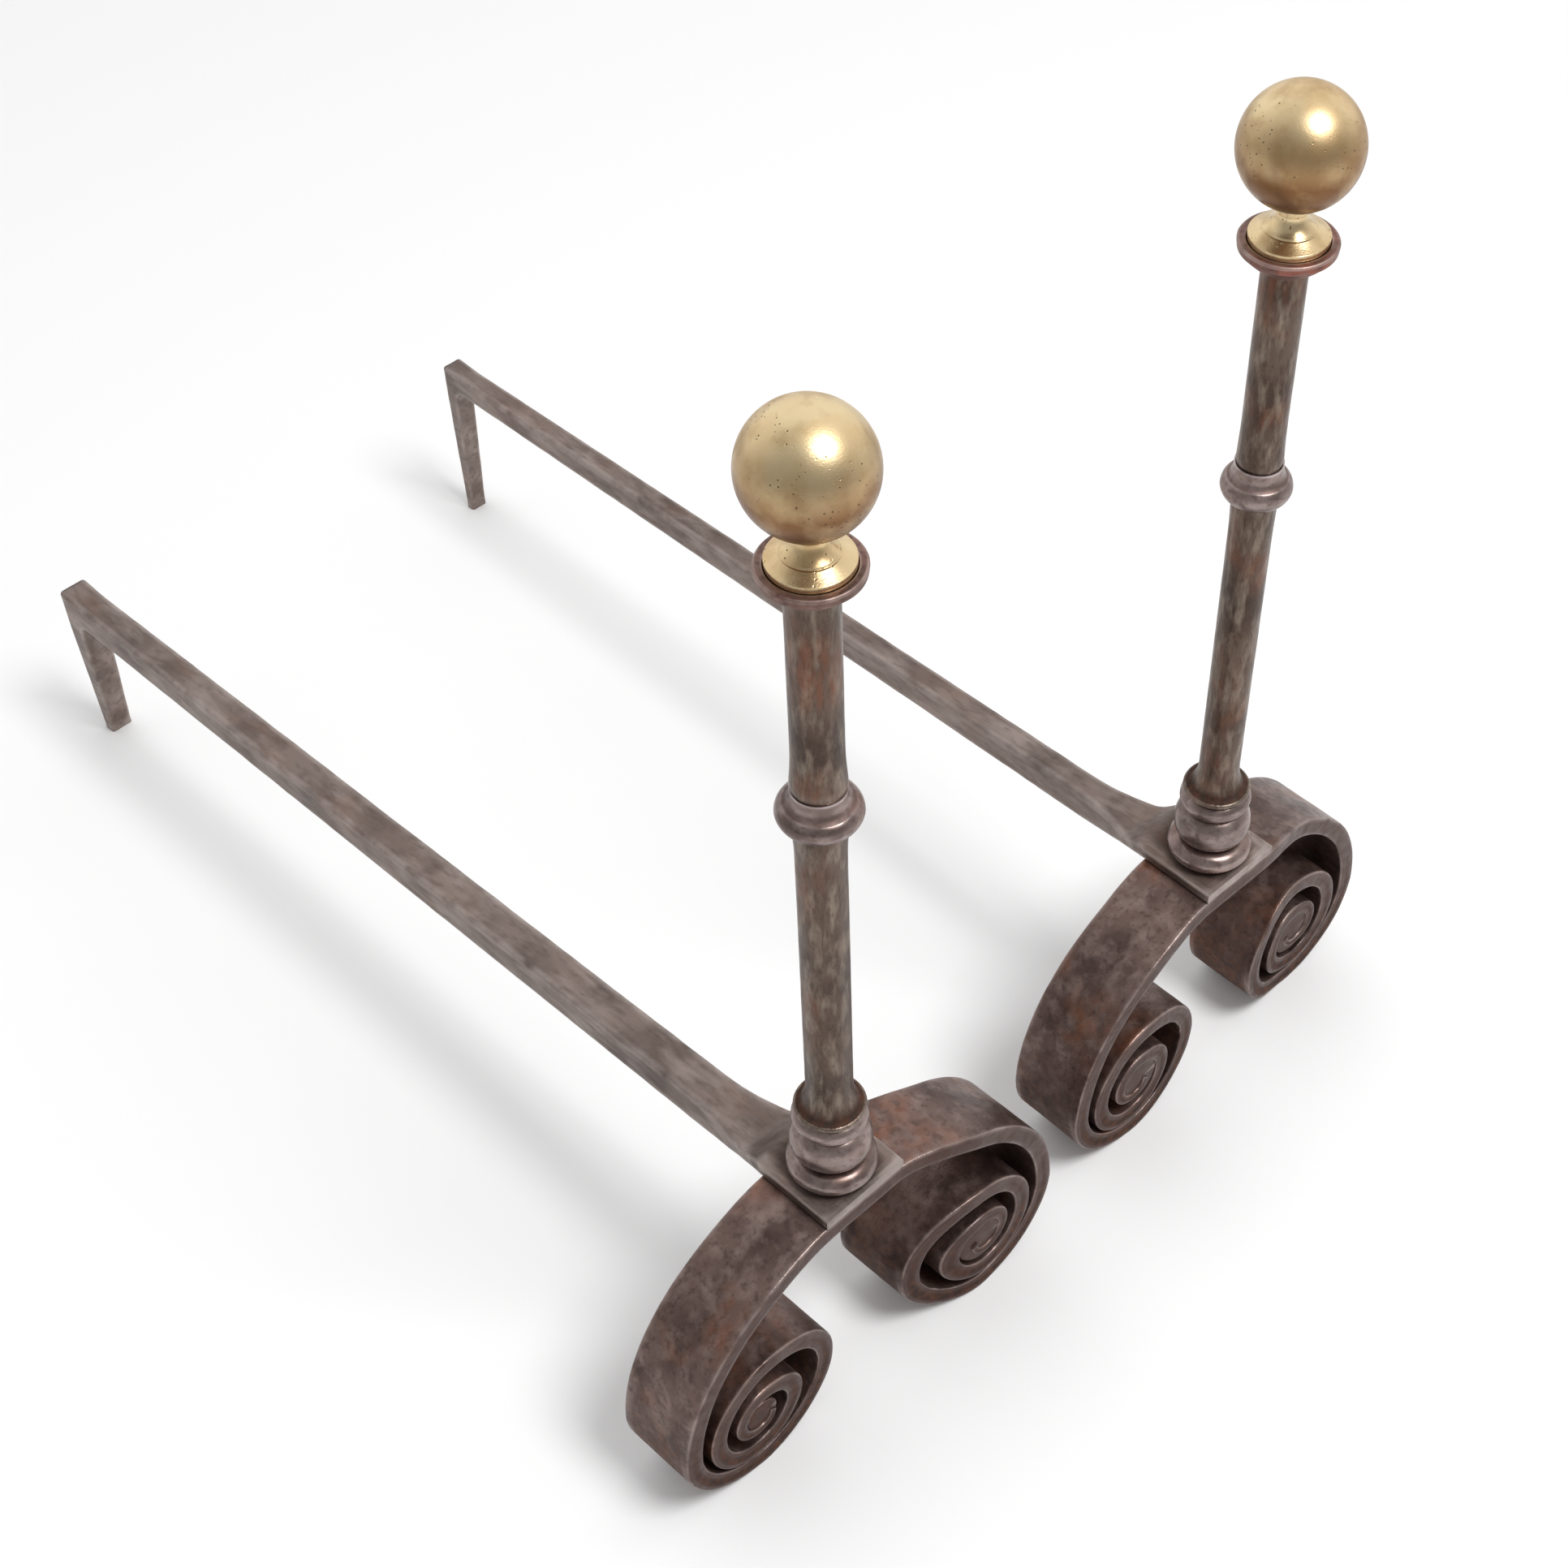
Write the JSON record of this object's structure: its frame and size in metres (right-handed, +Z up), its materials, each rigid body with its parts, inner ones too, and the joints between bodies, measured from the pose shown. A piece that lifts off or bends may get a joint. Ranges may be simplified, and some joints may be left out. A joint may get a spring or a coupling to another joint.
{
  "type": "andirons",
  "caption": "Andirons in forged iron: a strap arch on scrolled feet, a turned post with a brass ball finial, and a billet bar running back to a rear leg.",
  "frame": {"origin": "on the floor, under the middle of the box round the pair", "axes": "+Z up, +Y from the scrolled front feet back along the billet bars to the rear legs, +X across from the near andiron to the far one"},
  "size_m": [0.4978, 0.6438, 0.575],
  "materials": {
    "forged_iron": "hammered wrought iron, grey-brown with worn edges",
    "turned_iron": "turned iron, rubbed bright on the mouldings",
    "brass": "satin brass with fine pits"
  },
  "bodies": {
    "root": {"near_scroll_arch": "forged_iron", "near_billet_bar": "forged_iron", "near_tenon_washer": "forged_iron", "near_post_shaft": "forged_iron", "near_lower_ring": "turned_iron", "near_torus_ring": "turned_iron", "near_upper_ring": "turned_iron", "near_mid_collar": "turned_iron", "near_finial_cup": "turned_iron", "near_finial_stud": "forged_iron", "near_finial_saucer": "brass", "near_finial_ball": "brass", "far_scroll_arch": "forged_iron", "far_billet_bar": "forged_iron", "far_tenon_washer": "forged_iron", "far_post_shaft": "forged_iron", "far_lower_ring": "turned_iron", "far_torus_ring": "turned_iron", "far_upper_ring": "turned_iron", "far_mid_collar": "turned_iron", "far_finial_cup": "turned_iron", "far_finial_stud": "forged_iron", "far_finial_saucer": "brass", "far_finial_ball": "brass"}
  },
  "joints": []
}
